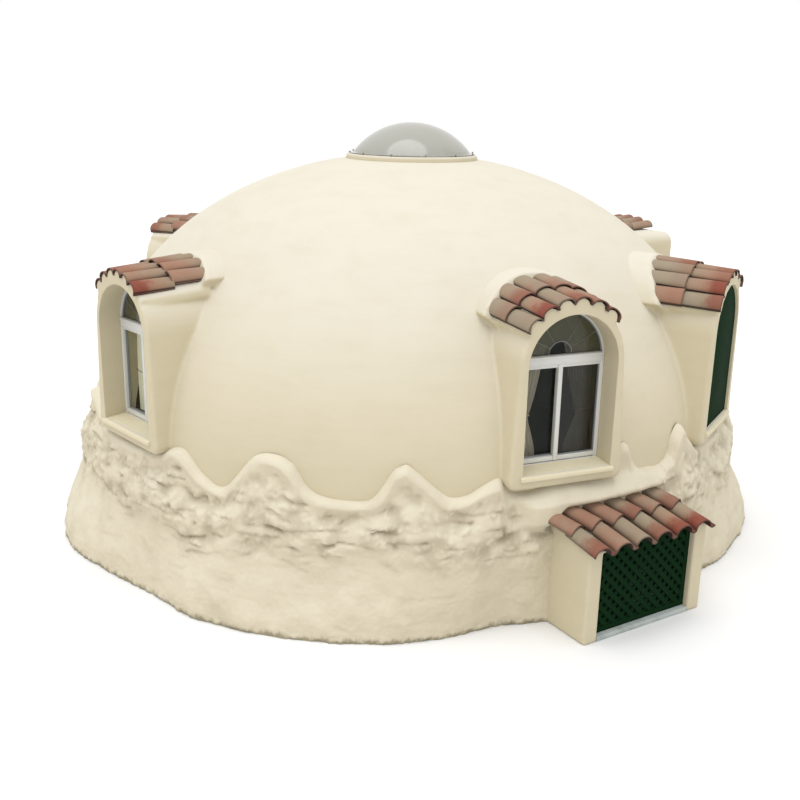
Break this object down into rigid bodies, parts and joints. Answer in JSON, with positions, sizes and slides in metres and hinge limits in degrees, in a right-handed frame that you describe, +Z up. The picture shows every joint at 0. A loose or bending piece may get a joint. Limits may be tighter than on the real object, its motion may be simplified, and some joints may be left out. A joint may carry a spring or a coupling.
{
  "type": "dome house",
  "caption": "Cream plastered foam dome house with tiled arched window hoods, a clear skylight dome, a rough plinth, a tiled lean-to housing and an entrance porch.",
  "frame": {"origin": "on the ground, on the dome's own upright axis", "axes": "+Z up; -Y is the front between the two nearest window hoods; azimuths run from -Y towards +X"},
  "size_m": [8.6429, 8.591, 4.6803],
  "materials": {
    "plaster": "painted plaster, trowelled",
    "rockwork": "painted rough mortar",
    "terracotta": "weathered fired clay",
    "white_aluminium": "white coated aluminium",
    "window_glass": "clear",
    "clear_acrylic": "clear, dulled by weather",
    "green_paint": "dark green paint",
    "concrete": "trowelled concrete",
    "curtain_cloth": "light woven cloth"
  },
  "bodies": {
    "root": {"closing_panel_c": "green_paint", "curtains_a": "curtain_cloth", "curtains_b": "curtain_cloth", "entrance_door": "green_paint", "floor_slab": "concrete", "hood_a": "plaster", "hood_b": "plaster", "hood_c": "plaster", "hood_d": "plaster", "hood_f": "plaster", "hood_tiles_a": "terracotta", "hood_tiles_b": "terracotta", "hood_tiles_c": "terracotta", "hood_tiles_d": "terracotta", "hood_tiles_f": "terracotta", "leanto_collar": "rockwork", "leanto_screen": "green_paint", "leanto_threshold": "concrete", "leanto_tiles": "terracotta", "leanto_wall_left": "plaster", "leanto_wall_right": "plaster", "plinth_a": "rockwork", "plinth_b": "rockwork", "plinth_c": "rockwork", "plinth_d": "rockwork", "plinth_e": "rockwork", "plinth_f": "rockwork", "porch": "plaster", "porch_tiles": "terracotta", "shell_gore_01": "plaster", "shell_gore_02": "plaster", "shell_gore_03": "plaster", "shell_gore_04": "plaster", "shell_gore_05": "plaster", "shell_gore_06": "plaster", "shell_gore_07": "plaster", "shell_gore_08": "plaster", "shell_gore_09": "plaster", "shell_gore_10": "plaster", "skylight_curb": "plaster", "skylight_dome": "clear_acrylic", "window_frame_a": "white_aluminium", "window_frame_b": "white_aluminium", "window_frame_d": "white_aluminium", "window_frame_f": "white_aluminium", "window_glass_a": "window_glass", "window_glass_b": "window_glass", "window_glass_d": "window_glass", "window_glass_f": "window_glass"}
  },
  "joints": []
}
